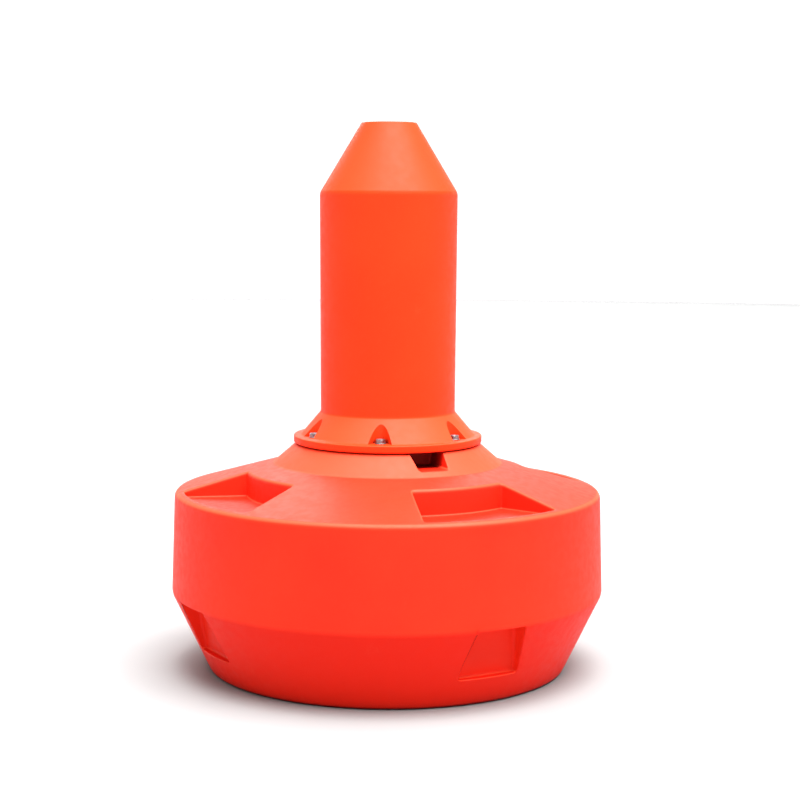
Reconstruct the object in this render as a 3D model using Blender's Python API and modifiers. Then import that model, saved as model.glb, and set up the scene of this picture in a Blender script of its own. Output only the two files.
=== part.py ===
"""Navigation buoy: a disc-shaped float with a daymark tower bolted to its neck.

Units are metres, +Z is up and the origin is at the centre of the flat base.
The front of the buoy faces -Y. Azimuths are measured from -Y towards +X.
"""

import math

import bmesh
import bpy
from mathutils import Matrix, Vector

# ---------------------------------------------------------------- sizes ----
# Tower: flange, flared skirt, slightly tapered drum and truncated cone.
DRUM_BASE_RADIUS = 0.2328
DRUM_FLARE = 0.0041
DRUM_HEIGHT = 0.754
CONE_RISE = 0.239
CAP_RADIUS = 0.094
CAP_FILLET = 0.006
SKIRT_RUN = 0.069
SKIRT_RISE = 0.081
FLANGE_LEDGE = 0.025
FLANGE_THICKNESS = 0.025
FLANGE_EDGE_FILLET = 0.009

# Bolt pockets in the skirt: arched, with a seat just above the flange.
TOWER_BOLTS = 6
TOWER_BOLT_AZIMUTH = math.radians(-5.0)
BOLT_POCKET_DEPTH = 0.054
BOLT_POCKET_HALF_WIDTH = 0.042
BOLT_SEAT_RISE = 0.005

# Float: one turned body, from the knuckle up to the neck and down to the base.
HULL_RADIUS = 0.750
KNUCKLE_HEIGHT = 0.272
CHAMFER_RUN = 0.130
BASE_EDGE_FILLET = 0.020
SIDE_DRAFT = 0.011
RIM_HEIGHT = 0.617
RIM_FILLET = 0.022
DECK_RISE = 0.0965
NECK_RUN = 0.079
NECK_RISE = 0.0685
NECK_FILLET = 0.030
NECK_INSET = 0.008

# Seat ring that carries the tower, standing just proud of the neck.
SEAT_INSET = 0.031
SEAT_RISE = 0.0037

# Pockets and notches moulded into the float.
DECK_POCKETS = 4
DECK_POCKET_AZIMUTH = math.radians(30.0)
DECK_POCKET_HALF_ANGLE = math.radians(20.5)
DECK_POCKET_NECK_MARGIN = 0.092
DECK_POCKET_LIP = 0.032
DECK_POCKET_FLOOR_DROP = 0.015
SIDE_POCKETS = 4
SIDE_POCKET_AZIMUTH = math.radians(29.5)
SIDE_POCKET_FLOOR_HEIGHT = 0.100
SIDE_POCKET_FLOOR_HALF_WIDTH = 0.113
SIDE_POCKET_TOP_HALF_WIDTH = 0.089
SIDE_POCKET_LEDGE_DEPTH = 0.030
SIDE_POCKET_TOP_DEPTH = 0.068
NECK_NOTCHES = 2
NECK_NOTCH_AZIMUTH = math.radians(24.5)
NECK_NOTCH_FLOOR_DROP = 0.051
NECK_NOTCH_TOP_HALF_WIDTH = 0.061
NECK_NOTCH_FLOOR_HALF_WIDTH = 0.053
NECK_NOTCH_DEPTH = 0.066

# Mooring gear in a well under the float.
WELL_RADIUS = 0.165
WELL_DEPTH = 0.150
MOORING_PLATE_MARGIN = 0.030
MOORING_PLATE_THICKNESS = 0.012
MOORING_LUG_WIDTH = 0.110
MOORING_LUG_THICKNESS = 0.025
MOORING_LUG_GROUND_CLEARANCE = 0.028
MOORING_EYE_RADIUS = 0.026
MOORING_EYE_EDGE = 0.030

# Plugs that close the foam filling holes in the base.
FILL_PLUGS = 2
FILL_PLUG_AZIMUTH = math.radians(75.0)
FILL_PLUG_RADIUS = 0.038
FILL_PLUG_THICKNESS = 0.008
FILL_PLUG_GROUND_CLEARANCE = 0.004

# Clearances and facets.
TOUCH_GAP = 0.0003
PLUG_CLEARANCE = 0.001
CUT_OVERRUN = 0.040
TURNED_FACETS = 96
SMALL_FACETS = 32
FILLET_STEPS = 4
MERGE_DISTANCE = 0.00001

# Radii and heights worked out from the sizes above.
DRUM_TOP_RADIUS = DRUM_BASE_RADIUS + DRUM_FLARE
SKIRT_BASE_RADIUS = DRUM_BASE_RADIUS + SKIRT_RUN
FLANGE_RADIUS = SKIRT_BASE_RADIUS + FLANGE_LEDGE
SEAT_RADIUS = FLANGE_RADIUS - SEAT_INSET
NECK_TOP_RADIUS = FLANGE_RADIUS - NECK_INSET
NECK_BASE_RADIUS = NECK_TOP_RADIUS + NECK_RUN
RIM_RADIUS = HULL_RADIUS - SIDE_DRAFT
BASE_RADIUS = HULL_RADIUS - CHAMFER_RUN
NECK_BASE_HEIGHT = RIM_HEIGHT + DECK_RISE
NECK_TOP_HEIGHT = NECK_BASE_HEIGHT + NECK_RISE
SEAT_HEIGHT = NECK_TOP_HEIGHT + SEAT_RISE
FLANGE_BOTTOM = SEAT_HEIGHT + TOUCH_GAP
FLANGE_TOP = FLANGE_BOTTOM + FLANGE_THICKNESS
DRUM_BASE = FLANGE_TOP + SKIRT_RISE
DRUM_TOP = DRUM_BASE + DRUM_HEIGHT
TOWER_TOP = DRUM_TOP + CONE_RISE
PLATE_BOTTOM = WELL_DEPTH - TOUCH_GAP - MOORING_PLATE_THICKNESS


# --------------------------------------------------------------- helpers ----
def clear_scene():
    for obj in list(bpy.data.objects):
        bpy.data.objects.remove(obj, do_unlink=True)


def new_collection(name):
    collection = bpy.data.collections.new(name)
    bpy.context.scene.collection.children.link(collection)
    return collection


def new_material(name, colour, roughness, metallic=0.0):
    material = bpy.data.materials.new(name)
    material.use_nodes = True
    shader = material.node_tree.nodes["Principled BSDF"]
    shader.inputs["Base Color"].default_value = (*colour, 1.0)
    shader.inputs["Roughness"].default_value = roughness
    shader.inputs["Metallic"].default_value = metallic
    return material


def new_object(name, mesh, collection, material=None):
    obj = bpy.data.objects.new(name, mesh)
    collection.objects.link(obj)
    if material:
        mesh.materials.append(material)
    return obj


def rounded_profile(corners):
    """(radius, height) points of an outline whose corners are (radius, height, fillet)."""
    points = []
    for index, (radius, height, fillet) in enumerate(corners):
        here = Vector((radius, height))
        if not fillet:
            points.append(here)
            continue
        back = Vector(corners[index - 1][:2]) - here
        ahead = Vector(corners[index + 1][:2]) - here
        half = back.angle(ahead) / 2
        reach = min(fillet / math.tan(half), 0.45 * back.length, 0.45 * ahead.length)
        arc_radius = reach * math.tan(half)
        middle = (back.normalized() + ahead.normalized()).normalized()
        centre = here + middle * (arc_radius / math.sin(half))
        start = here + back.normalized() * reach - centre
        turn = math.pi - 2 * half
        side = math.copysign(1.0, start.x * (here - centre).y - start.y * (here - centre).x)
        for step in range(FILLET_STEPS + 1):
            angle = side * turn * step / FILLET_STEPS
            cosine, sine = math.cos(angle), math.sin(angle)
            swung = Vector((start.x * cosine - start.y * sine, start.x * sine + start.y * cosine))
            points.append(centre + swung)
    return points


def turned(name, corners, facets, collection, material=None):
    """A closed solid of revolution about Z. The outline runs from the top of the axis to its foot."""
    mesh = bpy.data.meshes.new(name)
    points = rounded_profile(corners)
    edges = [(index, index + 1) for index in range(len(points) - 1)]
    mesh.from_pydata([(point.x, 0.0, point.y) for point in points], edges, [])
    obj = new_object(name, mesh, collection, material)
    screw = obj.modifiers.new("turn", "SCREW")
    screw.steps = facets
    screw.render_steps = facets
    screw.use_merge_vertices = True
    screw.merge_threshold = MERGE_DISTANCE
    screw.use_smooth_shade = True
    return obj


def prism(name, outline, low, high, collection):
    """A closed solid from a flat (x, y) outline, raised from one height to another."""
    mesh = bpy.data.meshes.new(name)
    shape = bmesh.new()
    face = shape.faces.new([shape.verts.new((x, y, low)) for x, y in outline])
    raised = bmesh.ops.extrude_face_region(shape, geom=[face])
    moved = [item for item in raised["geom"] if isinstance(item, bmesh.types.BMVert)]
    bmesh.ops.translate(shape, verts=moved, vec=(0, 0, high - low))
    bmesh.ops.recalc_face_normals(shape, faces=shape.faces)
    shape.to_mesh(mesh)
    shape.free()
    return new_object(name, mesh, collection)


def upright_prism(name, outline, near, far, collection):
    """A closed solid from an upright (x, z) outline, run along -Y from one distance to another."""
    obj = prism(name, outline, near, far, collection)
    obj.data.transform(Matrix.Rotation(math.pi / 2, 4, "X"))
    return obj


def arc(radius, height, start, end, steps):
    """(x, z) points round a centre at this height on the axis."""
    angles = [start + (end - start) * step / steps for step in range(steps + 1)]
    return [(radius * math.cos(angle), height + radius * math.sin(angle)) for angle in angles]


def cut(body, cutter):
    cutter.hide_render = True
    cutter.display_type = "WIRE"
    boolean = body.modifiers.new(cutter.name, "BOOLEAN")
    boolean.operation = "DIFFERENCE"
    boolean.solver = "EXACT"
    boolean.object = cutter


def cut_round(body, make_cutter, name, count, first_azimuth, cutters):
    """Cuts the same feature, modelled at the front, at even steps round the axis."""
    for number in range(count):
        cutter = make_cutter(f"{name}_{number + 1}", cutters)
        cutter.rotation_euler.z = first_azimuth + number * math.tau / count
        cut(body, cutter)


def front_sector(inner, outer, half_angle, steps):
    """Outline of a ring sector centred on the front, with its straight sides along radii."""
    angles = [half_angle * (2 * step / steps - 1) for step in range(steps + 1)]
    outside = [(outer * math.sin(angle), -outer * math.cos(angle)) for angle in angles]
    inside = [(inner * math.sin(angle), -inner * math.cos(angle)) for angle in reversed(angles)]
    return outside + inside


# ----------------------------------------------------------------- float ----
def make_float(parts, cutters, material):
    outline = [
        (0.0, SEAT_HEIGHT, 0),
        (SEAT_RADIUS, SEAT_HEIGHT, 0),
        (SEAT_RADIUS, NECK_TOP_HEIGHT, 0),
        (NECK_TOP_RADIUS, NECK_TOP_HEIGHT, 0),
        (NECK_BASE_RADIUS, NECK_BASE_HEIGHT, NECK_FILLET),
        (RIM_RADIUS, RIM_HEIGHT, RIM_FILLET),
        (HULL_RADIUS, KNUCKLE_HEIGHT, 0),
        (BASE_RADIUS, 0.0, BASE_EDGE_FILLET),
        (0.0, 0.0, 0),
    ]
    hull = turned("float_hull", outline, TURNED_FACETS, parts, material)
    cut_round(hull, deck_pocket_cutter, "deck_pocket", DECK_POCKETS, DECK_POCKET_AZIMUTH, cutters)
    cut_round(hull, side_pocket_cutter, "side_pocket", SIDE_POCKETS, SIDE_POCKET_AZIMUTH, cutters)
    cut_round(hull, neck_notch_cutter, "neck_notch", NECK_NOTCHES, NECK_NOTCH_AZIMUTH, cutters)
    cut(hull, round_hole_cutter("mooring_well", WELL_RADIUS, WELL_DEPTH, 2 * SMALL_FACETS, cutters))
    hole_depth = FILL_PLUG_GROUND_CLEARANCE + FILL_PLUG_THICKNESS + TOUCH_GAP
    for number in range(FILL_PLUGS):
        name = f"fill_hole_{number + 1}"
        hole = round_hole_cutter(name, FILL_PLUG_RADIUS + PLUG_CLEARANCE, hole_depth, SMALL_FACETS, cutters)
        hole.location.x, hole.location.y = fill_plug_place(number)
        cut(hull, hole)
    return hull


def deck_pocket_cutter(name, cutters):
    """Level-floored ring sector let into the sloping deck, behind a narrow outer lip."""
    inner = NECK_BASE_RADIUS + DECK_POCKET_NECK_MARGIN
    outer = RIM_RADIUS - DECK_POCKET_LIP
    steps = 2 * round(TURNED_FACETS * DECK_POCKET_HALF_ANGLE / math.tau)
    outline = front_sector(inner, outer, DECK_POCKET_HALF_ANGLE, steps)
    floor = RIM_HEIGHT - DECK_POCKET_FLOOR_DROP
    return prism(name, outline, floor, NECK_BASE_HEIGHT + CUT_OVERRUN, cutters)


def side_pocket_cutter(name, cutters):
    """Block that bites into the lower chamfer, from a level ledge up to the knuckle."""
    chamfer_radius = BASE_RADIUS + CHAMFER_RUN * SIDE_POCKET_FLOOR_HEIGHT / KNUCKLE_HEIGHT
    outer = HULL_RADIUS + CUT_OVERRUN
    shape = bmesh.new()
    bmesh.ops.create_cube(shape, size=1.0)
    for corner in shape.verts:
        if corner.co.z > 0:
            half_width = SIDE_POCKET_TOP_HALF_WIDTH
            back = HULL_RADIUS - SIDE_POCKET_TOP_DEPTH
            height = KNUCKLE_HEIGHT
        else:
            half_width = SIDE_POCKET_FLOOR_HALF_WIDTH
            back = chamfer_radius - SIDE_POCKET_LEDGE_DEPTH
            height = SIDE_POCKET_FLOOR_HEIGHT
        reach = outer if corner.co.y < 0 else back
        corner.co = (math.copysign(half_width, corner.co.x), -reach, height)
    mesh = bpy.data.meshes.new(name)
    shape.to_mesh(mesh)
    shape.free()
    return new_object(name, mesh, cutters)


def neck_notch_cutter(name, cutters):
    """Slot through the seat ring and the neck's shoulder, under the tower's flange."""
    draft = (NECK_NOTCH_TOP_HALF_WIDTH - NECK_NOTCH_FLOOR_HALF_WIDTH) / NECK_NOTCH_FLOOR_DROP
    floor = NECK_TOP_HEIGHT - NECK_NOTCH_FLOOR_DROP
    top_half_width = NECK_NOTCH_TOP_HALF_WIDTH + draft * CUT_OVERRUN
    wedge = [
        (-NECK_NOTCH_FLOOR_HALF_WIDTH, floor),
        (NECK_NOTCH_FLOOR_HALF_WIDTH, floor),
        (top_half_width, NECK_TOP_HEIGHT + CUT_OVERRUN),
        (-top_half_width, NECK_TOP_HEIGHT + CUT_OVERRUN),
    ]
    return upright_prism(name, wedge, SEAT_RADIUS - NECK_NOTCH_DEPTH, NECK_BASE_RADIUS + CUT_OVERRUN, cutters)


def round_hole_cutter(name, radius, depth, facets, cutters):
    """Blind round hole let up into the flat base."""
    outline = [(0.0, depth, 0), (radius, depth, 0), (radius, -CUT_OVERRUN, 0), (0.0, -CUT_OVERRUN, 0)]
    return turned(name, outline, facets, cutters)


def fill_plug_place(number):
    azimuth = FILL_PLUG_AZIMUTH + number * math.tau / FILL_PLUGS
    radius = (WELL_RADIUS + BASE_RADIUS) / 2
    return radius * math.sin(azimuth), -radius * math.cos(azimuth)


# ----------------------------------------------------------------- tower ----
def make_tower(parts, cutters, material):
    outline = [
        (0.0, TOWER_TOP, 0),
        (CAP_RADIUS, TOWER_TOP, CAP_FILLET),
        (DRUM_TOP_RADIUS, DRUM_TOP, 0),
        (DRUM_BASE_RADIUS, DRUM_BASE, 0),
        (SKIRT_BASE_RADIUS, FLANGE_TOP, 0),
        (FLANGE_RADIUS, FLANGE_TOP, FLANGE_EDGE_FILLET),
        (FLANGE_RADIUS, FLANGE_BOTTOM, FLANGE_EDGE_FILLET),
        (0.0, FLANGE_BOTTOM, 0),
    ]
    tower = turned("daymark_tower", outline, TURNED_FACETS, parts, material)
    cut_round(tower, bolt_pocket_cutter, "bolt_pocket", TOWER_BOLTS, TOWER_BOLT_AZIMUTH, cutters)
    return tower


def bolt_pocket_cutter(name, cutters):
    """Upright cutter with a parabolic back, which leaves an arch where it meets the skirt's cone."""
    steps = SMALL_FACETS // 2
    back = SKIRT_BASE_RADIUS - BOLT_POCKET_DEPTH
    outline = []
    for step in range(steps + 1):
        share = 2 * step / steps - 1
        outline.append((BOLT_POCKET_HALF_WIDTH * share, -(back + BOLT_POCKET_DEPTH * share**2)))
    outer = -(FLANGE_RADIUS + CUT_OVERRUN)
    outline += [(BOLT_POCKET_HALF_WIDTH, outer), (-BOLT_POCKET_HALF_WIDTH, outer)]
    return prism(name, outline, FLANGE_TOP + BOLT_SEAT_RISE, DRUM_BASE + CUT_OVERRUN, cutters)


# ---------------------------------------------------------- mooring gear ----
def make_mooring_plate(parts, material):
    radius = WELL_RADIUS - MOORING_PLATE_MARGIN
    top = WELL_DEPTH - TOUCH_GAP
    outline = [(0.0, top, 0), (radius, top, 0), (radius, PLATE_BOTTOM, 0), (0.0, PLATE_BOTTOM, 0)]
    return turned("mooring_plate", outline, 2 * SMALL_FACETS, parts, material)


def make_mooring_lug(parts, cutters, material):
    """Upright plate with a rounded foot and a hole for the mooring shackle."""
    top = PLATE_BOTTOM - TOUCH_GAP
    foot_radius = MOORING_EYE_RADIUS + MOORING_EYE_EDGE
    eye_height = MOORING_LUG_GROUND_CLEARANCE + foot_radius
    outline = [(MOORING_LUG_WIDTH / 2, top), (-MOORING_LUG_WIDTH / 2, top)]
    outline += arc(foot_radius, eye_height, math.pi, math.tau, SMALL_FACETS // 2)
    half_thickness = MOORING_LUG_THICKNESS / 2
    lug = upright_prism("mooring_lug", outline, -half_thickness, half_thickness, parts)
    lug.data.materials.append(material)
    ring = arc(MOORING_EYE_RADIUS, eye_height, 0, math.tau, SMALL_FACETS)[:-1]
    cut(lug, upright_prism("mooring_eye", ring, -MOORING_LUG_THICKNESS, MOORING_LUG_THICKNESS, cutters))
    return lug


def make_fill_plug(number, parts, material):
    bottom = FILL_PLUG_GROUND_CLEARANCE
    top = bottom + FILL_PLUG_THICKNESS
    outline = [(0.0, top, 0), (FILL_PLUG_RADIUS, top, 0), (FILL_PLUG_RADIUS, bottom, 0), (0.0, bottom, 0)]
    plug = turned(f"fill_plug_{number + 1}", outline, SMALL_FACETS, parts, material)
    plug.location.x, plug.location.y = fill_plug_place(number)
    return plug


# -------------------------------------------------------------- assembly ----
def main():
    clear_scene()
    parts = new_collection("navigation_buoy")
    cutters = new_collection("cutters")
    hull_plastic = new_material("hull_polyethylene", (0.87, 0.045, 0.018), 0.45)
    tower_plastic = new_material("tower_polyethylene", (0.90, 0.060, 0.018), 0.45)
    steel = new_material("galvanised_steel", (0.52, 0.53, 0.54), 0.45, 0.9)
    plug_plastic = new_material("plug_plastic", (0.03, 0.03, 0.03), 0.55)
    make_float(parts, cutters, hull_plastic)
    make_tower(parts, cutters, tower_plastic)
    make_mooring_plate(parts, steel)
    make_mooring_lug(parts, cutters, steel)
    for number in range(FILL_PLUGS):
        make_fill_plug(number, parts, plug_plastic)


main()
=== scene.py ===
# %% [markdown]
# # A moulded navigation buoy
# This buoy is two hollow plastic mouldings: a wide float, and a tall daymark tower that is
# bolted to the float's neck. Steel mooring gear sits in a well under the float.
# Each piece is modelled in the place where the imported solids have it, so the solids are
# loaded first and the main sizes are read from them.

import math

import bmesh
import bpy
from mathutils import Matrix, Vector


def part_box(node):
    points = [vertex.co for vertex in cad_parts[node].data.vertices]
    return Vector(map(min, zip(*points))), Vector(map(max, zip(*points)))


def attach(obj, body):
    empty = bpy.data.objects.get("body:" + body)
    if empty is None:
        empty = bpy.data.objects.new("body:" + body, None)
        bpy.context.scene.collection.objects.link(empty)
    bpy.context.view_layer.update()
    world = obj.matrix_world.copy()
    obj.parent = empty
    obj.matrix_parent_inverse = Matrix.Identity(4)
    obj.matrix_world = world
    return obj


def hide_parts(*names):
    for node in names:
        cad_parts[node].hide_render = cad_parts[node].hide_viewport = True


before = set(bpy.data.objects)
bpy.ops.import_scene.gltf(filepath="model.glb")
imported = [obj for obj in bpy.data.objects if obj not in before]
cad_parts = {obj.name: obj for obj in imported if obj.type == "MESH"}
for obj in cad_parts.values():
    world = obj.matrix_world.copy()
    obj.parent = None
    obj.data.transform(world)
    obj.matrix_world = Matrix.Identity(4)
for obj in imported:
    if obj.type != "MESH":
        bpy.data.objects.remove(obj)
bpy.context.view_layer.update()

# %% [markdown]
# ## Reading sizes from the solids
# A turned body is a stack of rings, so its outline can be read back: a radius and height that
# vertices share all round the axis is one ring. Pockets are cut into the body, and they show
# as faces that look straight up or straight down. An azimuth here is measured from the front,
# which is -Y, towards +X.

# %% Rings and level faces
FULL_RING = 60
LEVEL = 0.9999
NEAR = 0.0005
RING_CLEARANCE = 0.01


def radius_of(point):
    return math.hypot(point.x, point.y)


def azimuth_of(point):
    return math.atan2(point.x, -point.y)


def rings_of(node, inner_radius):
    """(radius, height) of each full ring outside a radius, from the foot of the body to its top."""
    places = {}
    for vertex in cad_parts[node].data.vertices:
        ring = (round(radius_of(vertex.co), 4), round(vertex.co.z, 4))
        azimuth = round(math.degrees(azimuth_of(vertex.co)))
        places.setdefault(ring, set()).add(azimuth)
    full = [ring for ring, azimuths in places.items() if len(azimuths) > FULL_RING]
    outside = [ring for ring in full if ring[0] > inner_radius]
    return sorted(outside, key=lambda ring: (ring[1], -ring[0]))


def level_points(node, up=True):
    """The corners of the level faces of a solid, by height."""
    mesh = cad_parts[node].data
    levels = {}
    for face in mesh.polygons:
        if (face.normal.z if up else -face.normal.z) > LEVEL:
            points = [mesh.vertices[index].co for index in face.vertices]
            levels.setdefault(round(points[0].z, 4), []).extend(points)
    return levels


float_floors = level_points("float_hull")
float_roofs = level_points("float_hull", up=False)
tower_floors = level_points("daymark_tower")
print("float floors:", sorted(float_floors), "roofs:", sorted(float_roofs))
print("tower floors:", sorted(tower_floors))

# %% [markdown]
# The outlines come next. The mooring well is a round hole in the base, so its own ring has to
# be kept out of the float's outline.

# %% Outlines of the two mouldings
WELL_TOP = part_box("mooring_plate")[1].z
WELL_ROOF = min(float_roofs, key=lambda height: abs(height - WELL_TOP))
WELL_RADIUS = max(radius_of(point) for point in float_roofs[WELL_ROOF])
FLOAT_RINGS = rings_of("float_hull", WELL_RADIUS + RING_CLEARANCE)
TOWER_RINGS = rings_of("daymark_tower", RING_CLEARANCE)
HULL_RADIUS, KNUCKLE_HEIGHT = max(FLOAT_RINGS)
SEAT_RADIUS, SEAT_HEIGHT = FLOAT_RINGS[-1]
NECK_TOP_RADIUS, NECK_TOP_HEIGHT = FLOAT_RINGS[-3]
print("float rings:", FLOAT_RINGS)
print("tower rings:", TOWER_RINGS)

# %% [markdown]
# ## Small modelling helpers
# The steps of hand modelling repeat, so each gets a short function: choose one object, enter
# edit mode, and select the faces or edges that pass a test.

# %% Selecting
def choose(*parts):
    bpy.ops.object.select_all(action="DESELECT")
    for part in parts:
        part.select_set(True)
    bpy.context.view_layer.objects.active = parts[0]


def start_edit(part, kind):
    choose(part)
    bpy.ops.object.mode_set(mode="EDIT")
    bpy.ops.mesh.select_mode(type=kind)
    bpy.ops.mesh.select_all(action="DESELECT")


def pick_faces(part, test):
    """Selects the faces whose middle and normal pass a test, in edit mode."""
    bpy.ops.mesh.select_mode(type="FACE")
    bpy.ops.mesh.select_all(action="DESELECT")
    shape = bmesh.from_edit_mesh(part.data)
    found = [face for face in shape.faces if test(face.calc_center_median(), face.normal)]
    for face in found:
        face.select_set(True)
    bmesh.update_edit_mesh(part.data)
    return len(found)


def pick_edges(part, test):
    """Selects the edges that pass a test, in edit mode."""
    bpy.ops.mesh.select_mode(type="EDGE")
    bpy.ops.mesh.select_all(action="DESELECT")
    shape = bmesh.from_edit_mesh(part.data)
    shape.normal_update()
    found = [edge for edge in shape.edges if test(edge)]
    for edge in found:
        edge.select_set(True)
    bmesh.update_edit_mesh(part.data)
    return len(found)


def ease(part, test, width, segments):
    """Rounds the edges that pass a test."""
    start_edit(part, "EDGE")
    count = pick_edges(part, test)
    if count:
        bpy.ops.mesh.bevel(offset=width, segments=segments, affect="EDGES", clamp_overlap=False)
    bpy.ops.object.mode_set(mode="OBJECT")
    print(part.name, "rounded edges:", count, "width:", round(width, 4))


def at_height(edge, height):
    return all(abs(vertex.co.z - height) < NEAR for vertex in edge.verts)


def at_radius(edge, radius):
    return all(abs(radius_of(vertex.co) - radius) < NEAR for vertex in edge.verts)


def on_ring(radius, height):
    """A test for the edges of one ring of a turned body."""
    return lambda edge: at_radius(edge, radius) and at_height(edge, height)


# %% [markdown]
# A turned body starts as a filled circle at its foot. Each ring is an extrusion of that face,
# moved up and resized, which is how a round profile is built by hand without a lathe tool.

# %% Turning a body
def extrude_up(height):
    bpy.ops.mesh.extrude_region_move(TRANSFORM_OT_translate={"value": (0, 0, height)})


def turn(name, rings, segments, twist=0.0):
    radius, height = rings[0]
    bpy.ops.mesh.primitive_circle_add(
        vertices=segments, radius=radius, fill_type="NGON",
        location=(0, 0, height), rotation=(0, 0, twist),
    )
    body = bpy.context.object
    body.name = name
    body.data.name = name
    bpy.ops.object.transform_apply(location=True, rotation=True, scale=True)
    bpy.ops.object.mode_set(mode="EDIT")
    bpy.ops.mesh.select_mode(type="FACE")
    bpy.ops.mesh.select_all(action="SELECT")
    for next_radius, next_height in rings[1:]:
        extrude_up(next_height - height)
        share = next_radius / radius
        bpy.ops.transform.resize(value=(share, share, 1), center_override=(0, 0, next_height))
        radius, height = next_radius, next_height
    bpy.ops.mesh.select_all(action="SELECT")
    bpy.ops.mesh.normals_make_consistent(inside=False)
    bpy.ops.object.mode_set(mode="OBJECT")
    return body


# %% [markdown]
# A Boolean cuts one solid with another. Shading by angle with weighted normals keeps the flat
# faces beside a rounded edge flat. The report counts open edges, and a closed solid has none.

# %% Cutting, shading and measuring
SMOOTH_ANGLE = math.radians(32)
BOLT_SMOOTH_ANGLE = math.radians(25)


def cut_away(part, cutter, operation="DIFFERENCE"):
    """Cuts one solid with another, which is used up."""
    boolean = part.modifiers.new("cut", "BOOLEAN")
    boolean.object = cutter
    boolean.operation = operation
    boolean.solver = "EXACT"
    choose(part)
    bpy.ops.object.modifier_apply(modifier="cut")
    bpy.data.objects.remove(cutter)


def smooth(part, angle=SMOOTH_ANGLE):
    """Smooth shading that keeps sharp edges sharp and flat faces flat."""
    choose(part)
    bpy.ops.object.shade_smooth_by_angle(angle=angle)
    weighted = part.modifiers.new("weighted", "WEIGHTED_NORMAL")
    weighted.keep_sharp = True
    bpy.ops.object.modifier_apply(modifier="weighted")


def solid_report(part):
    shape = bmesh.new()
    shape.from_mesh(part.data)
    loose = sum(1 for edge in shape.edges if len(edge.link_faces) != 2)
    volume = shape.calc_volume(signed=True)
    triangles = sum(len(face.verts) - 2 for face in shape.faces)
    shape.free()
    litres = round(volume * 1000, 1)
    print(part.name, "triangles:", triangles, "open edges:", loose, "litres:", litres)


# %% [markdown]
# ## The float's body
# The float is a hollow moulding, turned in shape but for its pockets. The deck pockets decide
# where its rings and facets go, so they are measured first. The rim ends where the outline has
# come in by two per cent of the radius.

# %% Deck pocket sizes
DECK_POCKETS = 4
DECK_STEP = math.tau / DECK_POCKETS
RIM_INSET = 0.98
RIM_TOP = next(
    ring for ring in FLOAT_RINGS if ring[1] > KNUCKLE_HEIGHT and ring[0] < RIM_INSET * HULL_RADIUS
)
deck_floor = max(height for height in float_floors if KNUCKLE_HEIGHT < height < RIM_TOP[1])
pocket_points = float_floors[deck_floor]
POCKET_INNER = min(radius_of(point) for point in pocket_points)
POCKET_OUTER = max(radius_of(point) for point in pocket_points)
folded = [azimuth_of(point) % DECK_STEP for point in pocket_points]
POCKET_START, POCKET_END = min(folded), max(folded)
print("deck pockets:", round(POCKET_INNER, 4), round(POCKET_OUTER, 4), "floor", deck_floor)
print("azimuths:", round(math.degrees(POCKET_START), 2), round(math.degrees(POCKET_END), 2))

# %% [markdown]
# Two more rings are added on the sloping deck, where the pockets start and end, so that their
# curved walls follow the rings. 96 facets are enough for a smooth outline. They are turned so
# that both straight sides of a pocket run well clear of the edges between facets.

# %% Turn the float
FLOAT_FACETS = 96
FACET = math.tau / FLOAT_FACETS


def with_rings(rings, radii):
    """The outline with more rings on the straight stretches above the knuckle."""
    finished = []
    for lower, upper in zip(rings, rings[1:] + [rings[-1]]):
        finished.append(lower)
        between = [radius for radius in radii if upper[0] < radius < lower[0]]
        added = between if lower[1] > KNUCKLE_HEIGHT else []
        for radius in sorted(added, reverse=True):
            share = (lower[0] - radius) / (lower[0] - upper[0])
            finished.append((radius, lower[1] + share * (upper[1] - lower[1])))
    return finished


spare_angle = FACET - (POCKET_END - POCKET_START) % FACET
FLOAT_TWIST = POCKET_START - spare_angle / 2 - FACET / 2 - math.pi / 2
float_outline = with_rings(FLOAT_RINGS, [POCKET_INNER, POCKET_OUTER])
float_shell = turn("float_shell", float_outline, FLOAT_FACETS, FLOAT_TWIST)
solid_report(float_shell)

# %% [markdown]
# The knuckle is where the side turns in towards the base, and a moulding has no sharp edge
# there. The round mooring well is pushed up into the base as a second disc inside the first,
# and then both of its edges are rounded too.

# %% Knuckle and mooring well
KNUCKLE_EDGE = 0.010
WELL_MOUTH = 0.008
WELL_CORNER = 0.012
base_radius = FLOAT_RINGS[0][0]
ease(float_shell, lambda edge: at_height(edge, KNUCKLE_HEIGHT), KNUCKLE_EDGE, 4)
start_edit(float_shell, "FACE")
pick_faces(float_shell, lambda middle, normal: normal.z < -LEVEL and middle.z < NEAR)
share = WELL_RADIUS / base_radius
extrude_up(0)
bpy.ops.transform.resize(value=(share, share, 1), center_override=(0, 0, 0))
extrude_up(WELL_ROOF)
bpy.ops.object.mode_set(mode="OBJECT")
ease(float_shell, on_ring(WELL_RADIUS, 0), WELL_MOUTH, 4)
ease(float_shell, on_ring(WELL_RADIUS, WELL_ROOF), WELL_CORNER, 4)
solid_report(float_shell)

# %% [markdown]
# ## Deck pockets
# Four level-floored pockets are let into the sloping deck, as handholds and footholds. The
# deck is bisected along their straight sides, and the faces between are extruded down and
# flattened on the floor. This keeps the faces round each pocket tidy, so that their edges
# round cleanly, which a Boolean cut would not.

# %% Cut the pocket sides across the deck
DECK_SLOPE = 0.7


def in_deck_band(middle, normal):
    return POCKET_INNER < radius_of(middle) < POCKET_OUTER and normal.z > DECK_SLOPE


def in_deck_pocket(middle, normal):
    azimuth = azimuth_of(middle) % DECK_STEP
    return in_deck_band(middle, normal) and POCKET_START < azimuth < POCKET_END


start_edit(float_shell, "FACE")
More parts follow.
